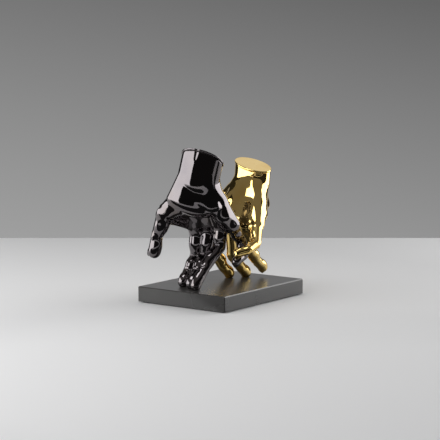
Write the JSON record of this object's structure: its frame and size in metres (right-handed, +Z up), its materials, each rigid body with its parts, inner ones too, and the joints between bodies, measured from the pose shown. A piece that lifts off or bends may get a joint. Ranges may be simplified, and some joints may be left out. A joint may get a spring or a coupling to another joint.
{
  "type": "ceramic hand sculpture",
  "caption": "Table sculpture of a dark and a gold glazed hand that stand on their fingertips on a plate and link their little fingers.",
  "frame": {"origin": "centre of the underside, on the surface that it stands on", "axes": "+Z up, +X along the plate's long side from the dark hand to the gold one, +Y towards the thumbs"},
  "size_m": [0.2, 0.156, 0.2328],
  "materials": {
    "plate": "satin lacquer",
    "felt": "pressed felt",
    "dark_glaze": "dark mirror glaze",
    "gold_lustre": "polished gold lustre",
    "insert_brass": "machined",
    "screw_steel": "plain zinc"
  },
  "bodies": {
    "root": {"base_plate": "plate", "felt_pad": "felt", "dark_hand": "dark_glaze", "dark_wrist_cap": "dark_glaze", "gold_hand": "gold_lustre", "gold_wrist_cap": "gold_lustre", "dark_index_insert": "insert_brass", "dark_index_screw": "screw_steel", "dark_index_washer": "screw_steel", "dark_middle_insert": "insert_brass", "dark_middle_screw": "screw_steel", "dark_middle_washer": "screw_steel", "dark_ring_insert": "insert_brass", "dark_ring_screw": "screw_steel", "dark_ring_washer": "screw_steel", "gold_index_insert": "insert_brass", "gold_index_screw": "screw_steel", "gold_index_washer": "screw_steel", "gold_middle_insert": "insert_brass", "gold_middle_screw": "screw_steel", "gold_middle_washer": "screw_steel"}
  },
  "joints": []
}
